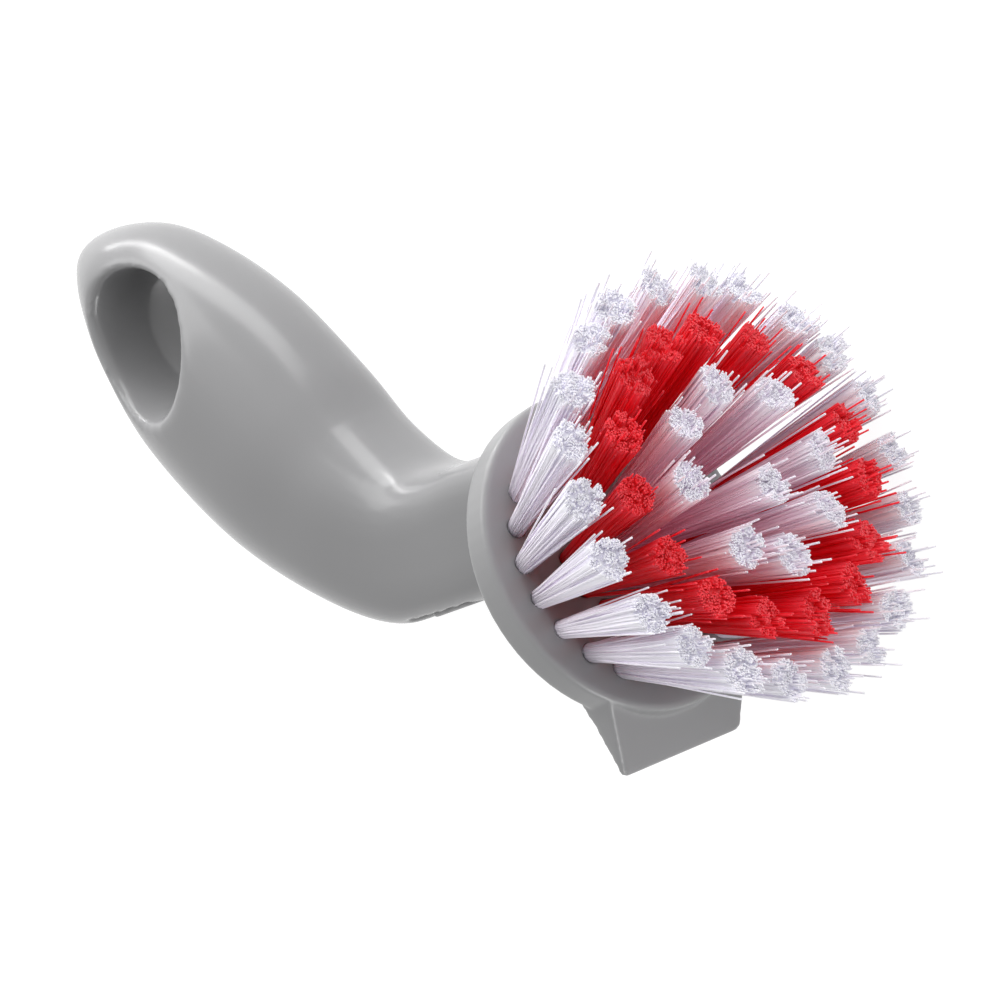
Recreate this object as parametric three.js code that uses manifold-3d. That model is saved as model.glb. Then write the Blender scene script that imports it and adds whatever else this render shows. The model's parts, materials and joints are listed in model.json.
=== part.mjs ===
// Hand brush: a palm handle with a hanging hole, and a round head with a scraper and rings of tufts.
// Millimetres. The brush is drawn as it is used, bristles down: x runs forward to the scraper,
// y to the left and z up, with z = 0 on the face that the tufts stand on.
// At the end the whole brush is turned onto its side, the way it lies on a table.
import * as THREE from "three";
import { ConvexHull } from "three/addons/math/ConvexHull.js";
import { mergeVertices } from "three/addons/utils/BufferGeometryUtils.js";
import Module from "manifold-3d";

const wasm = await Module();
wasm.setup();

// Sizes that drive the rest
const headRadius = 27;
const headThick = 9; // from the tufted face to the pad that the neck stands on
const handleReach = 98.3; // from the middle of the head back to the tip of the grip
const handleRise = 93; // from the foot of the neck to the top of the grip
const gripHalfWidth = 16.7;
const neckHalfWidth = 11;
const wall = 3; // skin of the hollow handle
const clearance = 0.3; // between pieces that fit into each other
const tuftRadius = 1.4; // where a tuft enters the head
const strandsPerTuft = 8;
const anchorHeight = 1.5;

// Rings of tufts, from the rim inwards: place is a share of the head's radius, lean is outwards from
// straight down, in degrees, and length is how far the tips are below the face
const white = 0xe9e9f2;
const red = 0xd5131a;
const rings = [
  { name: "outer_white", colour: white, tufts: 22, place: 0.774, lean: 20, length: 31 },
  { name: "red", colour: red, tufts: 15, place: 0.45, lean: 19.2, length: 32.3 },
  { name: "inner_white", colour: white, tufts: 8, place: 0.236, lean: 12.6, length: 34.4 },
  { name: "centre_white", colour: white, tufts: 1, place: 0, lean: 5, length: 35 },
];
const greyPlastic = { color: 0xa6a7a8, roughness: 0.28, metalness: 0 };
const anchorMetal = { color: 0xb4b6b8, roughness: 0.4, metalness: 1 };

// Solids and meshes
function solidOf(positions, triangles) {
  const mesh = new wasm.Mesh({
    numProp: 3,
    vertProperties: new Float32Array(positions),
    triVerts: new Uint32Array(triangles),
  });
  return new wasm.Manifold(mesh);
}

// A geometry as a solid that faces outwards
function toSolid(geometry) {
  const bare = geometry.clone();
  bare.deleteAttribute("normal");
  bare.deleteAttribute("uv");
  const merged = mergeVertices(bare, 1e-4);
  const corners = merged.index.array;
  const triangles = [];
  for (let i = 0; i < corners.length; i += 3) {
    const [a, b, c] = corners.slice(i, i + 3);
    if (a !== b && b !== c && c !== a) {
      triangles.push(a, b, c);
    }
  }
  const solid = solidOf(merged.attributes.position.array, triangles);
  if (solid.volume() > 0) {
    return solid;
  }
  return solidOf(merged.attributes.position.array, triangles.reverse());
}

function toMesh(name, solid, look) {
  const data = solid.getMesh();
  const geometry = new THREE.BufferGeometry();
  geometry.setAttribute("position", new THREE.BufferAttribute(new Float32Array(data.vertProperties), 3));
  geometry.setIndex(new THREE.BufferAttribute(new Uint32Array(data.triVerts), 1));
  geometry.computeVertexNormals();
  const mesh = new THREE.Mesh(geometry, new THREE.MeshStandardMaterial(look));
  mesh.name = name;
  return mesh;
}

// A closed skin over a row of loops with the same number of points, and a fan of triangles over each end
function skin(loops) {
  const count = loops[0].length;
  const positions = loops.flat().flatMap((p) => [p.x, p.y, p.z]);
  const index = [];
  for (let i = 0; i < loops.length - 1; i++) {
    for (let j = 0; j < count; j++) {
      const a = i * count + j;
      const b = i * count + ((j + 1) % count);
      index.push(a, b, b + count, a, b + count, a + count);
    }
  }
  const last = (loops.length - 1) * count;
  for (let j = 1; j < count - 1; j++) {
    index.push(0, j + 1, j);
    index.push(last, last + j, last + j + 1);
  }
  const geometry = new THREE.BufferGeometry();
  geometry.setAttribute("position", new THREE.Float32BufferAttribute(positions, 3));
  geometry.setIndex(index);
  return toSolid(geometry);
}

// An outline in the x-z plane, made as wide as width across y and centred on it
function sidePlate(points, width) {
  const shape = new THREE.Shape(points.map(([x, z]) => new THREE.Vector2(x, z)));
  const geometry = new THREE.ExtrudeGeometry(shape, { depth: width, bevelEnabled: false });
  geometry.translate(0, 0, -width / 2);
  geometry.rotateX(Math.PI / 2);
  return toSolid(geometry);
}

// A straight round bar from one point to another
function bar(from, to, radius, sides) {
  const along = new THREE.Vector3().subVectors(to, from);
  const geometry = new THREE.CylinderGeometry(radius, radius, along.length(), sides);
  geometry.translate(0, along.length() / 2, 0);
  const turn = new THREE.Quaternion().setFromUnitVectors(new THREE.Vector3(0, 1, 0), along.normalize());
  geometry.applyQuaternion(turn);
  geometry.translate(from.x, from.y, from.z);
  return toSolid(geometry);
}

// Handle, seen from the side: matching points along its front and top and along its back and underside,
// as shares of its reach backwards and of its rise above the neck's foot
const neckFoot = headThick + clearance;
const front = [
  [0.006, 0], [0.026, 0.158], [0.05, 0.352], [0.079, 0.495], [0.194, 0.667], [0.362, 0.828],
  [0.581, 0.95], [0.781, 0.995], [0.9, 0.994], [0.97, 0.984], [0.998, 0.965],
];
const back = [
  [0.232, 0], [0.254, 0.128], [0.267, 0.219], [0.303, 0.295], [0.417, 0.38], [0.545, 0.428],
  [0.713, 0.513], [0.854, 0.622], [0.965, 0.75], [1.012, 0.9], [0.998, 0.965],
];
// Half widths along the neck and the grip at the same places
const halfWidths = [
  ...[1, 1.018, 1.055, 1.145].map((share) => share * neckHalfWidth),
  ...[0.9, 1, 0.99, 0.85, 0.623, 0.311, 0.024].map((share) => share * gripHalfWidth),
];
// How square the section is there: 2 is an ellipse, 4 a rounded square
const squareness = [4, 4, 3.6, 2.9, 2.3, 2.1, 2.1, 2.1, 2.1, 2.1, 2];
const placeAt = ([back, up]) => new THREE.Vector3(-back * handleReach, 0, neckFoot + up * handleRise);
const frontLine = new THREE.CatmullRomCurve3(front.map(placeAt));
const backLine = new THREE.CatmullRomCurve3(back.map(placeAt));
const sections = halfWidths.map((width, i) => new THREE.Vector3(width, squareness[i], 0));
const sectionLine = new THREE.CatmullRomCurve3(sections);

// The handle's section at t, from 0 at the neck's foot to 1 at the tip, drawn in by inset all round
function handleLoop(t, inset, sides) {
  const top = frontLine.getPoint(t);
  const under = backLine.getPoint(t);
  const section = sectionLine.getPoint(t);
  const power = 2 / section.y;
  const middle = top.clone().add(under).multiplyScalar(0.5);
  const outward = top.clone().sub(under);
  const half = outward.length() / 2 - inset;
  const halfAcross = section.x - inset;
  outward.normalize();
  const loop = [];
  for (let i = 0; i < sides; i++) {
    const angle = (2 * Math.PI * i) / sides;
    const c = Math.cos(angle);
    const s = Math.sin(angle);
    const p = middle.clone().addScaledVector(outward, half * Math.sign(c) * Math.abs(c) ** power);
    p.y = halfAcross * Math.sign(s) * Math.abs(s) ** power;
    loop.push(p);
  }
  return loop;
}

// Sections from the neck's foot up to t
function handleLoops(t, steps, inset, sides) {
  const loops = [];
  for (let i = 0; i <= steps; i++) {
    loops.push(handleLoop((t * i) / steps, inset, sides));
  }
  return loops;
}

// The section at the neck's foot, moved to the height z
function footLoop(z, inset, sides) {
  return handleLoop(0, inset, sides).map((p) => p.setZ(z));
}

// Hanging hole: an oval that is narrowest at mid-width and widens evenly to both sides
const holeAt = 0.664; // along the handle
const holeDrop = 1; // below the middle of the section there
const holeCentre = frontLine.getPoint(holeAt).add(backLine.getPoint(holeAt)).multiplyScalar(0.5);
holeCentre.z -= holeDrop;
const holeHalfLength = 11.8;
const holeHalfHeight = 9.6;
const holeFlare = 3; // growth of the oval at flareAt from mid-width
const flareAt = 12;
const holeSlope = THREE.MathUtils.degToRad(-28.4); // the hole lies along the grip

function hangingHole() {
  const reach = gripHalfWidth + 4;
  const steps = 24;
  const sides = 48;
  const loops = [];
  for (let i = 0; i <= steps; i++) {
    const share = (2 * i) / steps - 1;
    const y = reach * Math.sign(share) * Math.abs(share) ** 0.6;
    const grow = (holeFlare * Math.abs(y)) / flareAt;
    const loop = [];
    for (let j = 0; j < sides; j++) {
      const angle = (2 * Math.PI * j) / sides;
      const along = (holeHalfLength + grow) * Math.cos(angle);
      const up = (holeHalfHeight + grow) * Math.sin(angle);
      const x = holeCentre.x + along * Math.cos(holeSlope) - up * Math.sin(holeSlope);
      const z = holeCentre.z + along * Math.sin(holeSlope) + up * Math.cos(holeSlope);
      loop.push(new THREE.Vector3(x, y, z));
    }
    loops.push(loop);
  }
  return skin(loops);
}

// The front face of the neck: a flat that leans back a little as it rises
const neckLow = placeAt(front[0]);
const neckUp = placeAt(front[2]).sub(neckLow).normalize();
const neckAcross = new THREE.Vector3(0, 1, 0);
const neckOut = neckAcross.clone().cross(neckUp);

// A block with rounded corners, set into that face: low and high are along the neck, inner and outer are
// distances out of the face
function frontBlock({ low, high, inner, outer, halfWidth, corner }) {
  const shape = new THREE.Shape();
  shape.moveTo(0, low);
  shape.absarc(halfWidth - corner, low + corner, corner, -Math.PI / 2, 0);
  shape.absarc(halfWidth - corner, high - corner, corner, 0, Math.PI / 2);
  shape.absarc(corner - halfWidth, high - corner, corner, Math.PI / 2, Math.PI);
  shape.absarc(corner - halfWidth, low + corner, corner, Math.PI, 1.5 * Math.PI);
  const settings = { depth: outer - inner, bevelEnabled: false, curveSegments: 5 };
  const geometry = new THREE.ExtrudeGeometry(shape, settings);
  geometry.translate(0, 0, inner);
  geometry.applyMatrix4(new THREE.Matrix4().makeBasis(neckAcross, neckUp, neckOut).setPosition(neckLow));
  return toSolid(geometry);
}

// Window in the front of the neck, and the latch that snaps into it from inside
const windowLow = 22;
const windowHigh = 41;
const windowHalfWidth = 0.69 * neckHalfWidth;
const windowCorner = 2.6;
const latchThick = 2.2;
const latchOuter = -wall - 2 * clearance;
const latchInner = latchOuter - latchThick;
const buttonHigh = 35;
const buttonSunk = 0.2; // below the front face

const neckWindow = frontBlock({
  low: windowLow,
  high: windowHigh,
  inner: latchInner - clearance,
  outer: wall,
  halfWidth: windowHalfWidth,
  corner: windowCorner,
});
const latchButton = frontBlock({
  low: windowLow + clearance,
  high: buttonHigh,
  inner: latchInner,
  outer: -buttonSunk,
  halfWidth: windowHalfWidth - clearance,
  corner: windowCorner - clearance,
});
const latchArm = frontBlock({
  low: 6,
  high: buttonHigh - 1,
  inner: latchInner,
  outer: latchOuter,
  halfWidth: 0.4 * neckHalfWidth,
  corner: 1,
});

// Handle: the hollow core runs up from the neck's foot and stops short of the hanging hole
const coreEnd = 0.54;
const core = skin([footLoop(neckFoot - 1, wall, 24), ...handleLoops(coreEnd, 16, wall, 24)]);
const handle = skin(handleLoops(1, 48, 0, 40)).subtract(hangingHole()).subtract(core).subtract(neckWindow);

// Head: a disc with a rounded rim and a shallow dome behind it
const recessDepth = 1.5; // the tufted face is set into the front of the head
const rimRound = 0.8;
const rimBackRound = 1;
const rimBack = 5.6;
const rimWide = 3.4; // from the head's edge in to the tufted face
const faceRadius = headRadius - rimWide;

function headDisc() {
  const profile = [new THREE.Vector2(0, 0)];
  const steps = 5;
  for (let i = 0; i <= steps; i++) {
    const angle = (-Math.PI / 2) * (1 - i / steps);
    const x = headRadius - rimRound + rimRound * Math.cos(angle);
    profile.push(new THREE.Vector2(x, rimRound + rimRound * Math.sin(angle)));
  }
  for (let i = 0; i <= steps; i++) {
    const angle = (Math.PI / 2) * (i / steps);
    const x = headRadius - rimBackRound + rimBackRound * Math.cos(angle);
    profile.push(new THREE.Vector2(x, rimBack - rimBackRound + rimBackRound * Math.sin(angle)));
  }
  profile.push(new THREE.Vector2(0.48 * headRadius, headThick - 0.4));
  profile.push(new THREE.Vector2(0.39 * headRadius, headThick));
  profile.push(new THREE.Vector2(0, headThick));
  const geometry = new THREE.LatheGeometry(profile, 72);
  geometry.rotateX(Math.PI / 2);
  return toSolid(geometry);
}

// Scraper: a wedge from under the rim to a straight tip edge, with its plan rounded at the two corners
const scraperReach = headRadius + 6;
const scraperTop = 8.7;
const scraperEdge = 0.8; // thickness of the tip edge
const scraperTipHalf = 0.515 * headRadius;
const scraperRootHalf = 0.66 * headRadius;
const scraperRoot = 0.52 * headRadius;
const scraperSlope = 0.64; // rise of its front face per millimetre forward
const scraperFall = 2.9; // how far its top face drops from the tip edge back to the root
const scraperCorner = 1.8;

function scraper() {
  const plan = new THREE.Shape();
  plan.moveTo(scraperRoot, -scraperRootHalf);
  plan.lineTo(scraperReach - scraperCorner, -scraperTipHalf);
  plan.quadraticCurveTo(scraperReach, -scraperTipHalf, scraperReach, -scraperTipHalf + scraperCorner);
  plan.lineTo(scraperReach, scraperTipHalf - scraperCorner);
  plan.quadraticCurveTo(scraperReach, scraperTipHalf, scraperReach - scraperCorner, scraperTipHalf);
  plan.lineTo(scraperRoot, scraperRootHalf);
  const settings = { depth: headThick, bevelEnabled: false, curveSegments: 5 };
  const block = new THREE.ExtrudeGeometry(plan, settings);
  const tip = scraperTop - scraperEdge;
  const side = [
    [scraperReach, tip],
    [scraperReach, scraperTop],
    [scraperRoot, scraperTop - scraperFall],
    [scraperRoot, tip - scraperSlope * (scraperReach - scraperRoot)],
  ];
  return toSolid(block).intersect(sidePlate(side, 3 * scraperRootHalf));
}

// Collar under the neck, and the spigot and latch arm that go up into it
const collarLip = 1;
const collar = skin([footLoop(headThick / 2, -collarLip, 40), footLoop(headThick, -collarLip, 40)]);
const spigotEnd = 0.13; // along the handle
const spigotInset = wall + clearance;
const spigotLoops = handleLoops(spigotEnd, 3, spigotInset, 24);
const spigot = skin([footLoop(headThick - 1, spigotInset, 24), ...spigotLoops]);

// Tufts: where each one stands, and the way it points
function tuftsOf(ring) {
  const tufts = [];
  for (let i = 0; i < ring.tufts; i++) {
    const angle = (2 * Math.PI * i) / ring.tufts;
    const out = new THREE.Vector3(Math.cos(angle), Math.sin(angle), 0);
    const lean = Math.tan(THREE.MathUtils.degToRad(ring.lean));
    const root = out.clone().multiplyScalar(ring.place * headRadius);
    const slope = out.clone().multiplyScalar(lean).setZ(-1); // one millimetre down along the tuft
    tufts.push({ angle, root, slope, down: (d) => root.clone().addScaledVector(slope, d) });
  }
  return tufts;
}

// Depths into the head, as heights above the face
const plugEnd = 3.3;
const anchorLow = plugEnd + clearance;
const holeEnd = anchorLow + anchorHeight + clearance;

let tuftHoles = null;
for (const ring of rings) {
  for (const tuft of tuftsOf(ring)) {
    const hole = bar(tuft.down(-holeEnd), tuft.down(0), tuftRadius + clearance, 6);
    tuftHoles = tuftHoles ? tuftHoles.add(hole) : hole;
  }
}
const recess = new THREE.CylinderGeometry(faceRadius + clearance, faceRadius + clearance, 4, 72);
recess.rotateX(Math.PI / 2);
recess.translate(0, 0, recessDepth + clearance - 2);
const head = headDisc()
  .add(scraper())
  .add(collar)
  .add(spigot)
  .add(latchArm)
  .add(latchButton)
  .subtract(toSolid(recess))
  .subtract(tuftHoles);

// A band of the tufted face, between two radii
function faceBand(inner, outer) {
  const inside = Math.max(inner, 0);
  const points = [[inside, 0], [outer, 0], [outer, recessDepth], [inside, recessDepth]];
  const profile = points.map(([x, z]) => new THREE.Vector2(x, z));
  if (inside > 0) {
    profile.push(new THREE.Vector2(inside, 0));
  }
  const geometry = new THREE.LatheGeometry(profile, inside > 0 ? 48 : 24);
  geometry.rotateX(Math.PI / 2);
  return toSolid(geometry);
}

// One tuft: strands that leave the face close together and fan out to the tip
const strandRadius = 0.3;
const rootSpread = tuftRadius - strandRadius;
const tipSpread = 2.7;

function strand(tuft, ring, k) {
  const middle = k === 0;
  const turn = tuft.angle + (2 * Math.PI * k) / (strandsPerTuft - 1);
  const side = middle ? new THREE.Vector3() : new THREE.Vector3(Math.cos(turn), Math.sin(turn), 0);
  const uneven = 0.8 * Math.sin(2.4 * k + 5 * tuft.angle);
  const from = tuft.down(-recessDepth / 2).addScaledVector(side, rootSpread);
  const to = tuft.down(ring.length + uneven).addScaledVector(side, tipSpread);
  return bar(from, to, strandRadius, 3);
}

function bristleRing(ring, inner, outer) {
  let solid = faceBand(inner, outer);
  for (const tuft of tuftsOf(ring)) {
    solid = solid.add(bar(tuft.down(-plugEnd), tuft.down(-recessDepth / 2), tuftRadius, 6));
    for (let k = 0; k < strandsPerTuft; k++) {
      solid = solid.add(strand(tuft, ring, k));
    }
  }
  return solid;
}

function anchor(tuft) {
  const geometry = new THREE.BoxGeometry(0.4, 1.6 * tuftRadius, anchorHeight);
  geometry.rotateZ(tuft.angle);
  const place = tuft.down(-anchorLow - anchorHeight / 2);
  geometry.translate(place.x, place.y, place.z);
  return toSolid(geometry);
}

// The whole brush, as it is used
const brush = new THREE.Group();
brush.add(toMesh("handle", handle, greyPlastic));
brush.add(toMesh("head", head, greyPlastic));
rings.forEach((ring, i) => {
  const halfway = (next) => ((ring.place + next.place) / 2) * headRadius;
  const outer = i === 0 ? faceRadius : halfway(rings[i - 1]) - clearance / 2;
  const inner = i === rings.length - 1 ? 0 : halfway(rings[i + 1]) + clearance / 2;
  const look = { color: ring.colour, roughness: 0.45, metalness: 0 };
  brush.add(toMesh(`bristles_${ring.name}`, bristleRing(ring, inner, outer), look));
  tuftsOf(ring).forEach((tuft, j) => {
    const number = String(j + 1).padStart(2, "0");
    brush.add(toMesh(`anchor_${ring.name}_${number}`, anchor(tuft), anchorMetal));
  });
});

// The corners of every piece, and the middle of all the material
function cornersAndCentre(group) {
  const corners = [];
  const centre = new THREE.Vector3();
  let volume = 0;
  for (const mesh of group.children) {
    const { position } = mesh.geometry.attributes;
    const points = [];
    for (let i = 0; i < position.count; i++) {
      points.push(new THREE.Vector3().fromBufferAttribute(position, i));
    }
    const index = mesh.geometry.index.array;
    for (let i = 0; i < index.length; i += 3) {
      const [a, b, c] = [points[index[i]], points[index[i + 1]], points[index[i + 2]]];
      const wedge = a.dot(b.clone().cross(c)) / 6;
      centre.addScaledVector(a.clone().add(b).add(c), wedge / 4);
      volume += wedge;
    }
    corners.push(...points);
  }
  return { corners, centre: centre.divideScalar(volume) };
}

// The face of its hull that the brush comes to lie on: it rolls from the face under its centre to the
// next one, until the face it lies on is the one under its centre
function restingNormal(corners, centre, start) {
  const { faces } = new ConvexHull().setFromPoints(corners);
  const depth = (face, down) => (face.constant - face.normal.dot(centre)) / face.normal.dot(down);
  let down = start;
  for (;;) {
    const below = faces.filter((face) => face.normal.dot(down) > 1e-6);
    const lowest = below.reduce((best, face) => (depth(face, down) < depth(best, down) ? face : best));
    if (lowest.normal.dot(down) > 1 - 1e-9) {
      return lowest.normal;
    }
    down = lowest.normal;
  }
}

// Laid on its side, with the scraper along x and the bristles along y, on its bristle tips and its grip
const { corners, centre } = cornersAndCentre(brush);
const onSide = new THREE.Quaternion().setFromAxisAngle(new THREE.Vector3(1, 0, 0), Math.PI / 2);
const floorSide = restingNormal(corners, centre, new THREE.Vector3(0, -1, 0)).clone();
floorSide.applyQuaternion(onSide);
const settle = new THREE.Quaternion().setFromUnitVectors(floorSide, new THREE.Vector3(0, 0, -1));
brush.quaternion.multiplyQuaternions(settle, onSide);
const box = new THREE.Box3().setFromObject(brush, true);
const middle = box.getCenter(new THREE.Vector3());
brush.position.set(-middle.x, -middle.y, -box.min.z);

const part = new THREE.Group();
part.add(brush);
export default part;
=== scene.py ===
"""Looks of the hand brush: glossy grey handle, grey head with a scraper, and rings of white and red tufts."""

import json
import math
import random
from collections import namedtuple

import bpy
from mathutils import Matrix, Quaternion, Vector

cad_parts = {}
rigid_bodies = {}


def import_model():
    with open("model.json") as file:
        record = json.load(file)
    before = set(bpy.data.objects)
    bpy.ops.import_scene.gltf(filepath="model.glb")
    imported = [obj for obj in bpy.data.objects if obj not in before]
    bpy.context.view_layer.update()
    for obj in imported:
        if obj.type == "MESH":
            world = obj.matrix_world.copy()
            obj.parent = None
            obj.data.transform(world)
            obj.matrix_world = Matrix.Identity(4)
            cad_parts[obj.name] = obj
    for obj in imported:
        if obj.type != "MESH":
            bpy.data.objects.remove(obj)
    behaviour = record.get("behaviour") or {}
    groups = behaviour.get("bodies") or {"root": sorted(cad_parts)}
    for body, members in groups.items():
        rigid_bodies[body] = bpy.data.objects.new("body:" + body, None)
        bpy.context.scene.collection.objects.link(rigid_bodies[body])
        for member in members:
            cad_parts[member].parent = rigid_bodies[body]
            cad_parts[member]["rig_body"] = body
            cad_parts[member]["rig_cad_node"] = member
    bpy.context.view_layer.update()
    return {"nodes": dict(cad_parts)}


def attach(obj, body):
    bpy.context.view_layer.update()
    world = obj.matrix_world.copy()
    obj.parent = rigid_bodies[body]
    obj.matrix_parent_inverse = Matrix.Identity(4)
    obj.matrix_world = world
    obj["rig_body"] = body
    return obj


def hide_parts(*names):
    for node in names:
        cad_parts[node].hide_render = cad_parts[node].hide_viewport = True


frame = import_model()

MM = 0.001

# The brush is described as it is used, in millimetres: x forward to the scraper, y to one side, z up from
# the tufted face. These two values lay it on its side on the table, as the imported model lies.
LAY_TURN = Quaternion((0.623495, 0.780012, 0.037654, -0.037654))
LAY_SHIFT = Vector((32.570, 31.112, 27.365))
LAID = Matrix.Scale(MM, 4) @ Matrix.Translation(LAY_SHIFT) @ LAY_TURN.to_matrix().to_4x4()

# The photograph's camera, as fitted to the brush
CAMERA_PLACE = Vector((48.9, 345.0, -380.6))
CAMERA_RIGHT = Vector((0.4138, -0.7245, -0.5512))
CAMERA_UP = Vector((-0.9019, -0.2438, -0.3565))
CAMERA_LENS = 117.2
SENSOR_WIDTH = 36.0

# Rings of tufts from the rim inwards: the CAD node, how many tufts, the ring's radius, the lean outwards in
# degrees, the length below the face, and the nylon
Ring = namedtuple("Ring", "node tufts radius lean length nylon")
RINGS = [
    Ring("bristles_outer_white", 22, 20.9, 20.0, 31.0, "white"),
    Ring("bristles_red", 15, 12.15, 19.2, 32.3, "red"),
    # The inner white tufts carry a painted pink glow on their roots, standing in for light from the red tufts
    Ring("bristles_inner_white", 8, 6.37, 12.6, 34.4, "painted_pink_glow"),
    Ring("bristles_centre_white", 1, 0.0, 5.0, 35.0, "painted_pink_glow"),
]

# Sizes of the handle and the head
NECK_TOP = 46.0
NECK_BLEND = 10.0  # height over which the neck's crisp edges give way to the soft grip
HANDLE_VOXEL = 0.6  # the cells in which a moulding is meshed afresh
HEAD_VOXEL = 0.37
HEAD_RADIUS = 27.0
SCRAPER_REACH = 33.0  # from the middle of the head to the tip edge of the scraper
FACE_RADIUS = 24.2
FACE_THICK = 2.0
TUFT_HOLE_RADIUS = 1.5
TUFT_HOLE_DEPTH = 4.0

# Sizes of a tuft
FILAMENTS = 230
FILAMENT_RADIUS = 0.16
CUT_RING = 0.985  # where along a filament its paler cut end, partly a painted highlight, begins
ROOT_DEPTH = 1.5  # how deep filaments stand in their hole
MIDDLE_DEPTH = 1.0
ROOT_RADIUS = 1.36
TIP_RADIUS = 3.0
OUTER_CLUMPS = 7
CLUMP_PLACE = 0.75  # share of the tuft's radius at which the outer clumps stand
STRAYS = 0.1  # share of the filaments that stray from their clump
TRIM_TILT = 8.0  # degrees by which the trimmed end of a tuft leans in towards the middle of the brush
TUFT_PATTERNS = 6  # different tufts in a ring, which then repeat


# Modelling helpers
def deselect():
    bpy.ops.object.select_all(action="DESELECT")


def pick(piece):
    deselect()
    piece.select_set(True)
    bpy.context.view_layer.objects.active = piece


def finish_with(piece, kind, **settings):
    """Adds a modifier with these settings and applies it."""
    pick(piece)
    modifier = piece.modifiers.new(kind.lower(), kind)
    for name, value in settings.items():
        setattr(modifier, name, value)
    bpy.ops.object.modifier_apply(modifier=modifier.name)


def copy_of_node(node, name):
    """A copy of a CAD node, with its loose triangles merged, stood upright in millimetres to be worked on."""
    piece = frame["nodes"][node].copy()
    piece.data = frame["nodes"][node].data.copy()
    bpy.context.scene.collection.objects.link(piece)
    piece.name = name
    piece.parent = None
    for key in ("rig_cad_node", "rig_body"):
        del piece[key]
    pick(piece)
    bpy.ops.object.mode_set(mode="EDIT")
    bpy.ops.mesh.select_all(action="SELECT")
    bpy.ops.mesh.remove_doubles(threshold=0.002 * MM)
    bpy.ops.object.mode_set(mode="OBJECT")
    piece.data.transform(LAID.inverted())
    return piece


def lay_smooth(piece):
    """Lays a finished moulding on the table and shades it smooth."""
    piece.data.transform(LAID)
    pick(piece)
    bpy.ops.object.shade_smooth()


def joined(pieces, name):
    deselect()
    for piece in pieces:
        piece.select_set(True)
    bpy.context.view_layer.objects.active = pieces[0]
    bpy.ops.object.join()
    whole = bpy.context.view_layer.objects.active
    whole.name = name
    whole.data.name = name
    return whole


def own_copy(piece):
    copy = piece.copy()
    copy.data = piece.data.copy()
    bpy.context.scene.collection.objects.link(copy)
    return copy


# Materials
def linear(hex_colour):
    """An sRGB hex colour as linear red, green, blue and alpha."""
    channels = [int(hex_colour[i : i + 2], 16) / 255 for i in (1, 3, 5)]
    return [c / 12.92 if c <= 0.04045 else ((c + 0.055) / 1.055) ** 2.4 for c in channels] + [1.0]


def fill_inputs(tree, node, inputs):
    """Gives each input its value, or links it where a socket is given."""
    for name, value in inputs.items():
        if isinstance(value, bpy.types.NodeSocket):
            tree.links.new(value, node.inputs[name])
        else:
            node.inputs[name].default_value = value


def add_node(tree, kind, inputs=None, **settings):
    node = tree.nodes.new(kind)
    for name, value in settings.items():
        setattr(node, name, value)
    fill_inputs(tree, node, inputs or {})
    return node


def fill_ramp(ramp, stops):
    """Sets a colour ramp's stops, each a position and a hex colour."""
    for position, _ in stops[2:]:
        ramp.elements.new(position)
    for element, (position, colour) in zip(ramp.elements, stops):
        element.position = position
        element.color = linear(colour)


def new_material(name):
    material = bpy.data.materials.new(name)
    material.use_nodes = True
    tree = material.node_tree
    return material, tree, tree.nodes["Principled BSDF"]


def moulded_grey_plastic(name, light, dark, roughness, skin_mm):
    """Moulded plastic: an even mid grey with a clear gloss, faint flow shading and a slightly wavy skin."""
    material, tree, shader = new_material(name)
    place = add_node(tree, "ShaderNodeTexCoord").outputs["Object"]
    flow = add_node(tree, "ShaderNodeTexNoise", {"Vector": place, "Scale": 1 / (40 * MM), "Detail": 2.0})
    tone = add_node(tree, "ShaderNodeValToRGB", {"Fac": flow.outputs["Fac"]})
    fill_ramp(tone.color_ramp, [(0.3, dark), (0.7, light)])
    skin = add_node(tree, "ShaderNodeTexNoise", {"Vector": place, "Scale": 1 / (skin_mm * MM), "Detail": 3.0})
    gloss = add_node(
        tree,
        "ShaderNodeMapRange",
        {"Value": skin.outputs["Fac"], "To Min": roughness - 0.03, "To Max": roughness + 0.03},
    )
    bump = add_node(
        tree, "ShaderNodeBump", {"Height": skin.outputs["Fac"], "Strength": 0.05, "Distance": 0.05 * MM}
    )
    fill_inputs(
        tree,
        shader,
        {
            "Base Color": tone.outputs["Color"],
            "Roughness": gloss.outputs["Result"],
            "Normal": bump.outputs["Normal"],
            "IOR": 1.5,
        },
    )
    return material


def nylon_filament(name, root, tip, cut_end_and_highlight):
    """Extruded nylon: satin strands, no two quite alike in tone, paler where cut: partly the cut, partly a
    painted highlight.
    """
    material, tree, shader = new_material(name)
    along = add_node(tree, "ShaderNodeAttribute", attribute_name="along").outputs["Fac"]
    strand = add_node(tree, "ShaderNodeAttribute", attribute_name="strand").outputs["Fac"]
    tone = add_node(tree, "ShaderNodeValToRGB", {"Fac": along})
    fill_ramp(tone.color_ramp, [(0.1, root), (0.9, tip), (1.0, cut_end_and_highlight)])
    value = add_node(tree, "ShaderNodeMapRange", {"Value": strand, "To Min": 0.9, "To Max": 1.06})
    varied = add_node(
        tree, "ShaderNodeHueSaturation", {"Color": tone.outputs["Color"], "Value": value.outputs["Result"]}
    )
    fill_inputs(tree, shader, {"Base Color": varied.outputs["Color"], "Roughness": 0.36, "IOR": 1.53})
    return material


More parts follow.
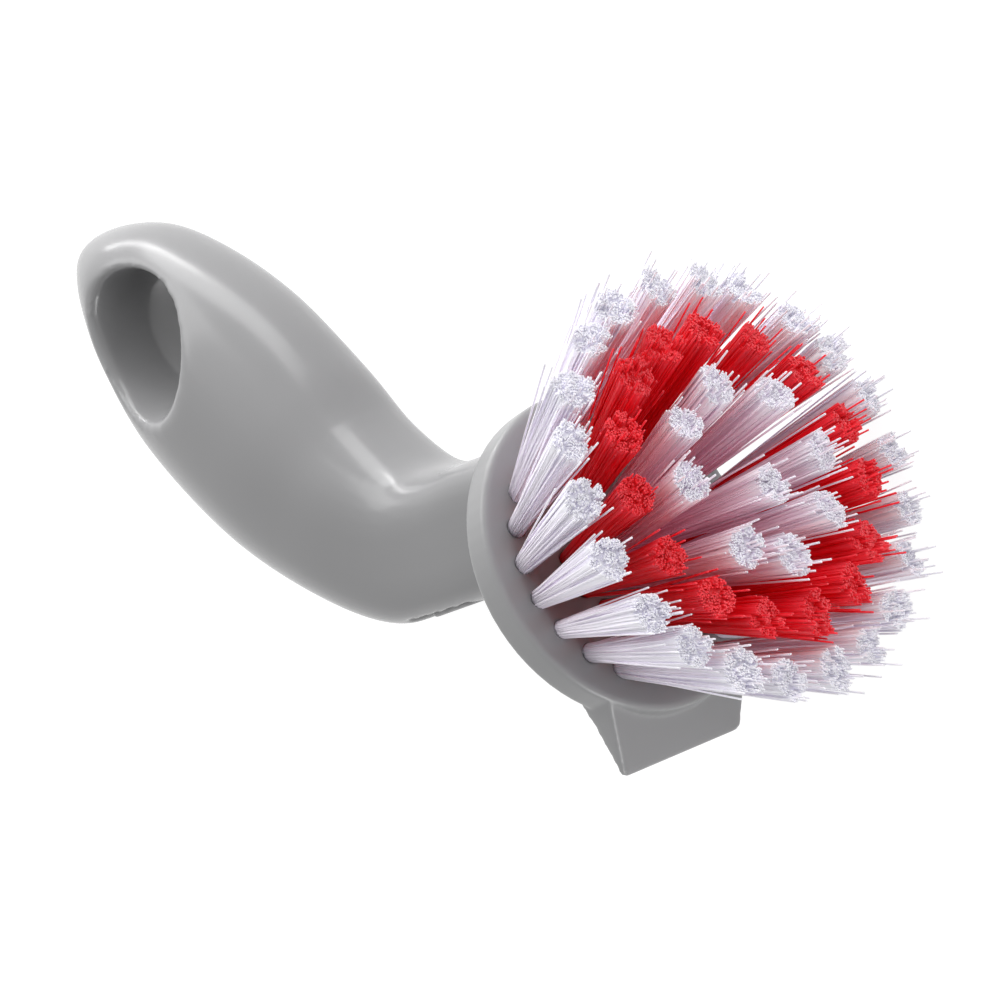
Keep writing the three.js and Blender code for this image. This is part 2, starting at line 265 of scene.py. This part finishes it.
def flat_steel_wire():
    """Rolled steel wire: bright, with a finely uneven gloss from the rolling."""
    material, tree, shader = new_material("rolled_steel_wire")
    place = add_node(tree, "ShaderNodeTexCoord").outputs["Object"]
    mottle = add_node(tree, "ShaderNodeTexNoise", {"Vector": place, "Scale": 1 / (0.3 * MM), "Detail": 4.0})
    gloss = add_node(
        tree, "ShaderNodeMapRange", {"Value": mottle.outputs["Fac"], "To Min": 0.3, "To Max": 0.5}
    )
    fill_inputs(
        tree,
        shader,
        {"Base Color": linear("#B9BBBD"), "Roughness": gloss.outputs["Result"], "Metallic": 1.0},
    )
    return material


handle_plastic = moulded_grey_plastic("moulded_abs_glossy_grey", "#888889", "#828283", 0.22, 3.0)
head_plastic = moulded_grey_plastic("moulded_pp_satin_grey", "#8F8F90", "#89898A", 0.34, 1.5)
white_nylon = nylon_filament("extruded_nylon_white", "#F4EDF8", "#F7F4FD", "#F9F8FE")
# White nylon among the red tufts: the pink on its roots, fading towards the tip, is a painted glow of red
# light shining through and bouncing off the red filaments
pink_glow_painted_nylon = nylon_filament("extruded_nylon_white_with_painted_pink_glow", "#F6ACC8", "#F7E6F1", "#F8F6FD")
red_nylon = nylon_filament("extruded_nylon_red", "#F80D1E", "#FA1224", "#F63A47")
anchor_steel = flat_steel_wire()


def dress(piece, material, slot):
    piece.data.materials.clear()
    piece.data.materials.append(material)
    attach(piece, "root")


# Handle: the CAD solid with its facets smoothed away, but less so on the neck
handle = copy_of_node("handle", "handle_moulding")
finish_with(handle, "REMESH", mode="VOXEL", voxel_size=HANDLE_VOXEL, adaptivity=0.0)
soft = handle.vertex_groups.new(name="soft")
crisp = handle.vertex_groups.new(name="crisp")
for vertex in handle.data.vertices:
    share = min(1.0, max(0.0, (vertex.co.z - NECK_TOP) / NECK_BLEND))
    soft.add([vertex.index], share, "REPLACE")
    crisp.add([vertex.index], 1.0 - share, "REPLACE")
finish_with(handle, "SMOOTH", factor=0.5, iterations=60, vertex_group="soft")
finish_with(handle, "SMOOTH", factor=0.5, iterations=5, vertex_group="crisp")
lay_smooth(handle)
dress(handle, handle_plastic, "grey_plastic")
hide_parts("handle")


# Tufts: where each one stands, and the way it points
def tuft_places(ring):
    places = []
    for i in range(ring.tufts):
        turn = Matrix.Rotation(2 * math.pi * i / ring.tufts, 4, "Z")
        lean = Matrix.Rotation(-math.radians(ring.lean), 4, "Y")
        places.append(turn @ Matrix.Translation((ring.radius, 0, 0)) @ lean)
    return places


# Head: the CAD solid, with the tufted face set in its recess and a slanted hole for each tuft. The sides of
# its scraper are smoothed most, because their edges slant across the voxels.
head = copy_of_node("head", "head_moulding")
deselect()
bpy.ops.mesh.primitive_cylinder_add(vertices=96, radius=FACE_RADIUS, depth=FACE_THICK, location=(0, 0, 0))
face = bpy.context.object
face.data.transform(Matrix.Translation((0, 0, FACE_THICK / 2)))
drills = []
for ring in RINGS:
    for place in tuft_places(ring):
        deselect()
        bpy.ops.mesh.primitive_cylinder_add(
            vertices=24, radius=TUFT_HOLE_RADIUS, depth=2 * TUFT_HOLE_DEPTH, location=(0, 0, 0)
        )
        drill = bpy.context.object
        drill.data.transform(place)
        drills.append(drill)
drill = joined(drills, "tuft_drills")
finish_with(head, "BOOLEAN", operation="UNION", solver="EXACT", object=face)
finish_with(head, "BOOLEAN", operation="DIFFERENCE", solver="EXACT", object=drill)
finish_with(head, "REMESH", mode="VOXEL", voxel_size=HEAD_VOXEL, adaptivity=0.0)
scraper_sides = head.vertex_groups.new(name="scraper_sides")
for vertex in head.data.vertices:
    past_rim = math.hypot(vertex.co.x, vertex.co.y) - HEAD_RADIUS
    short_of_tip = (SCRAPER_REACH - vertex.co.x) / 2
    share = min(1.0, max(0.0, min(past_rim, short_of_tip)))
    scraper_sides.add([vertex.index], share, "REPLACE")
finish_with(head, "SMOOTH", factor=0.5, iterations=8)
finish_with(head, "SMOOTH", factor=0.5, iterations=20, vertex_group="scraper_sides")
lay_smooth(head)
dress(head, head_plastic, "grey_plastic")
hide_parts("head")
for scrap in (face, drill):
    bpy.data.objects.remove(scrap)

# One filament, a millimetre long and drawn down from the face: a ring half way lets it bow, and one near the
# tip keeps the paler cut end, partly a painted highlight where the end catches light, short
deselect()
bpy.ops.mesh.primitive_cylinder_add(vertices=5, radius=FILAMENT_RADIUS, depth=1, location=(0, 0, 0))
filament = bpy.context.object
bpy.ops.object.mode_set(mode="EDIT")
bpy.ops.mesh.select_all(action="SELECT")
bpy.ops.transform.translate(value=(0, 0, -0.5))
bpy.ops.mesh.bisect(plane_co=(0, 0, -0.5), plane_no=(0, 0, 1))
bpy.ops.mesh.select_all(action="SELECT")
bpy.ops.mesh.bisect(plane_co=(0, 0, -CUT_RING), plane_no=(0, 0, 1))
bpy.ops.object.mode_set(mode="OBJECT")
along = filament.data.attributes.new("along", "FLOAT", "POINT")
along.data.foreach_set("value", [-v.co.z for v in filament.data.vertices])
filament.data.attributes.new("strand", "FLOAT", "POINT")


def drawn_out(root, tip):
    """Maps a shape drawn from the origin one millimetre down onto the line from this root to this tip."""
    step = root - tip
    return Matrix(((1, 0, step.x, root.x), (0, 1, step.y, root.y), (0, 0, step.z, root.z), (0, 0, 0, 1)))


def one_filament(index, length, clumps, chance):
    """A filament of a tuft that stands at the origin and points down, from its root to its fanned-out tip."""
    angle = index * math.pi * (3 - math.sqrt(5))
    spot = Vector((math.cos(angle), math.sin(angle), 0)) * math.sqrt((index + 0.5) / FILAMENTS)
    clump, splay, extra = min(clumps, key=lambda one: (one[0] - spot).length)
    stray = chance.random() < STRAYS
    if stray:
        tip = spot * TIP_RADIUS * chance.uniform(1.2, 1.8)
        reach = length + chance.uniform(-1, 3.5)
    else:
        tip = spot.lerp(clump, 0.1) * TIP_RADIUS + clump * splay
        tip += Vector((chance.gauss(0, 0.06), chance.gauss(0, 0.06), 0))
        reach = length + extra + chance.gauss(0, 0.12)
    tip.z = -reach
    root = spot * ROOT_RADIUS + Vector((0, 0, ROOT_DEPTH))
    copy = own_copy(filament)
    bow = Vector((chance.gauss(0, 0.12), chance.gauss(0, 0.12), 0))
    for vertex in copy.data.vertices:
        if -0.6 < vertex.co.z < -0.4:
            vertex.co += bow
    copy.data.transform(drawn_out(root, tip))
    shade = chance.random()
    copy.data.attributes["strand"].data.foreach_set("value", [shade] * len(copy.data.vertices))
    return copy


def packed_middle(place, splay, reach, share):
    """Filaments in the middle of a tuft or clump, packed so close that they show as one soft body, which
    takes up this share of the tuft's width."""
    deselect()
    bpy.ops.mesh.primitive_cone_add(
        vertices=14, radius1=share * TIP_RADIUS, radius2=share * ROOT_RADIUS, depth=1, location=(0, 0, 0)
    )
    middle = bpy.context.object
    middle.data.transform(Matrix.Translation((0, 0, -0.5)))
    heights = [-v.co.z for v in middle.data.vertices]
    root = place * ROOT_RADIUS + Vector((0, 0, MIDDLE_DEPTH))
    tip = place * (TIP_RADIUS + splay) + Vector((0, 0, -reach))
    middle.data.transform(drawn_out(root, tip))
    middle.data.attributes.new("along", "FLOAT", "POINT").data.foreach_set("value", heights)
    middle.data.attributes.new("strand", "FLOAT", "POINT").data.foreach_set("value", [0.5] * len(heights))
    return middle


def one_tuft(length, seed):
    """A tuft whose filaments keep together in clumps, one in the middle and the others round it. Each clump
    has its place across the tuft, how far it splays out in millimetres, and its extra length."""
    chance = random.Random(seed)
    clumps = [(Vector((0, 0, 0)), 0.0, chance.uniform(-0.2, 0.4))]
    for i in range(OUTER_CLUMPS):
        angle = 2 * math.pi * (i + chance.uniform(-0.3, 0.3)) / OUTER_CLUMPS
        middle = Vector((math.cos(angle), math.sin(angle), 0)) * CLUMP_PLACE
        clumps.append((middle, chance.uniform(-0.1, 0.7), chance.uniform(-0.3, 1.0)))
    strands = [one_filament(index, length, clumps, chance) for index in range(FILAMENTS)]

    # Packed middles end a little short of the cut ends, so that loose ends show all over the tip
    middles = [packed_middle(Vector((0, 0, 0)), 0.0, reach=length - 0.8, share=0.92)]
    for place, splay, extra in clumps:
        middles.append(packed_middle(place, splay, reach=length + extra - 0.45, share=0.24))
    return joined(middles + strands, f"tuft_{seed}")


nylons = {
    "white": (white_nylon, "white_bristle"),
    "painted_pink_glow": (pink_glow_painted_nylon, "white_bristle"),
    "red": (red_nylon, "red_bristle"),
}

# Rings: each tuft is turned, squeezed, swayed and trimmed a little differently
for number, ring in enumerate(RINGS):
    slant = ring.length / math.cos(math.radians(ring.lean))
    patterns = [one_tuft(slant, 100 * number + i) for i in range(min(TUFT_PATTERNS, ring.tufts))]
    chance = random.Random(number)
    copies = []
    for i, place in enumerate(tuft_places(ring)):
        copy = own_copy(patterns[i % len(patterns)])
        spin = Matrix.Rotation(chance.uniform(0, 2 * math.pi), 4, "Z")
        oval = Matrix.Diagonal((chance.uniform(0.9, 1.1), chance.uniform(0.9, 1.1), 1, 1))
        sway = Matrix.Rotation(math.radians(chance.gauss(0, 1)), 4, "X")
        trim = Matrix.Identity(4)
        trim[2][0] = -math.tan(math.radians(TRIM_TILT + chance.gauss(0, 4)))
        trim[2][1] = math.tan(math.radians(chance.gauss(0, 4)))
        copy.data.transform(LAID @ place @ sway @ trim @ oval @ spin)
        copies.append(copy)
    tufts = joined(copies, ring.node + "_filaments")
    pick(tufts)
    bpy.ops.object.shade_smooth_by_angle(angle=math.radians(80))
    dress(tufts, *nylons[ring.nylon])
    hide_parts(ring.node)
    for pattern in patterns:
        bpy.data.objects.remove(pattern)
bpy.data.objects.remove(filament)

# Anchors stay as the CAD made them
for node, piece in frame["nodes"].items():
    if node.startswith("anchor"):
        piece.data.materials.clear()
        piece.data.materials.append(anchor_steel)

# Camera
laid_turn = LAY_TURN.to_matrix()
right = (laid_turn @ CAMERA_RIGHT).normalized()
back = right.cross(laid_turn @ CAMERA_UP).normalized()
up = back.cross(right)
camera = bpy.data.objects.new("camera", bpy.data.cameras.new("camera"))
bpy.context.scene.collection.objects.link(camera)
camera.data.lens = CAMERA_LENS
camera.data.sensor_width = SENSOR_WIDTH
camera.data.clip_start = 0.01
camera_turn = Matrix((right, up, back)).transposed().to_4x4()
camera.matrix_world = Matrix.Translation(LAID @ CAMERA_PLACE) @ camera_turn
bpy.context.scene.camera = camera


# Studio: three panels, a strip lamp, and a pale floor that shows white and keeps the shadow
BRUSH_MIDDLE = LAID @ Vector((-20, 0, 30))


def soft_box(name, way, distance, width, height, power):
    lamp = bpy.data.lights.new(name, "AREA")
    lamp.shape = "RECTANGLE"
    lamp.size = width
    lamp.size_y = height
    lamp.energy = power
    box = bpy.data.objects.new(name, lamp)
    bpy.context.scene.collection.objects.link(box)
    box.location = BRUSH_MIDDLE + way.normalized() * distance
    box.rotation_mode = "QUATERNION"
    box.rotation_quaternion = way.to_track_quat("Z", "Y")


def from_picture(rightwards, upwards, nearer):
    """A direction given as it is seen in the picture."""
    return (rightwards * right + upwards * up + nearer * back).normalized()


def background_rays(tree):
    """One for rays that show the background, straight or in gloss and glass, zero for those that light."""
    path = add_node(tree, "ShaderNodeLightPath").outputs
    shown = path["Is Camera Ray"]
    for kind in ("Is Glossy Ray", "Is Transmission Ray"):
        either = add_node(tree, "ShaderNodeMath", {0: shown, 1: path[kind]}, operation="MAXIMUM")
        shown = either.outputs[0]
    return shown


soft_box("panel_above", from_picture(-0.3, 0.93, 0.05), distance=0.6, width=0.5, height=0.25, power=1.6)
soft_box("panel_left", from_picture(-0.8, 0.5, 0.1), distance=0.7, width=0.5, height=0.35, power=1.2)
soft_box("panel_below", from_picture(0.4, -0.8, 0.45), distance=0.8, width=0.5, height=0.3, power=3.0)
soft_box("strip_lamp", from_picture(-0.5, 0.76, -0.3), distance=0.55, width=0.4, height=0.04, power=0.5)

deselect()
bpy.ops.mesh.primitive_plane_add(size=8, location=(0, 0, 0))
floor = bpy.context.object
floor.name = "floor"
paper, tree, shader = new_material("white_paper_floor")
fill_inputs(tree, shader, {"Base Color": linear("#C8C8C8"), "Roughness": 0.9})
glow = add_node(tree, "ShaderNodeEmission", {"Strength": 1.5})
lift = add_node(tree, "ShaderNodeMath", {0: background_rays(tree), 1: 0.6}, operation="MULTIPLY")
mixed = add_node(
    tree, "ShaderNodeMixShader", {0: lift.outputs[0], 1: shader.outputs["BSDF"], 2: glow.outputs["Emission"]}
)
fill_inputs(tree, tree.nodes["Material Output"], {"Surface": mixed.outputs["Shader"]})
floor.data.materials.append(paper)

# The world lights the brush most from the top of the picture, and shows as plain white
world = bpy.data.worlds.new("studio")
bpy.context.scene.world = world
world.use_nodes = True
tree = world.node_tree
way = add_node(tree, "ShaderNodeTexCoord").outputs["Generated"]
bright_side = add_node(
    tree, "ShaderNodeVectorMath", {0: way, 1: from_picture(-0.4, 0.9, 0.0)}, operation="DOT_PRODUCT"
)
light_level = add_node(
    tree,
    "ShaderNodeMapRange",
    {"Value": bright_side.outputs["Value"], "From Min": -0.6, "To Min": 0.0, "To Max": 1.85},
)
strength = add_node(
    tree,
    "ShaderNodeMix",
    {"Factor": background_rays(tree), "A": light_level.outputs["Result"], "B": 1.0},
)
fill_inputs(tree, tree.nodes["Background"], {"Color": (1, 1, 1, 1), "Strength": strength.outputs["Result"]})

# Light goes from strand to strand many times before it leaves a tuft
bpy.context.scene.cycles.max_bounces = 24
bpy.context.scene.cycles.diffuse_bounces = 16
bpy.context.scene.view_settings.view_transform = "Standard"
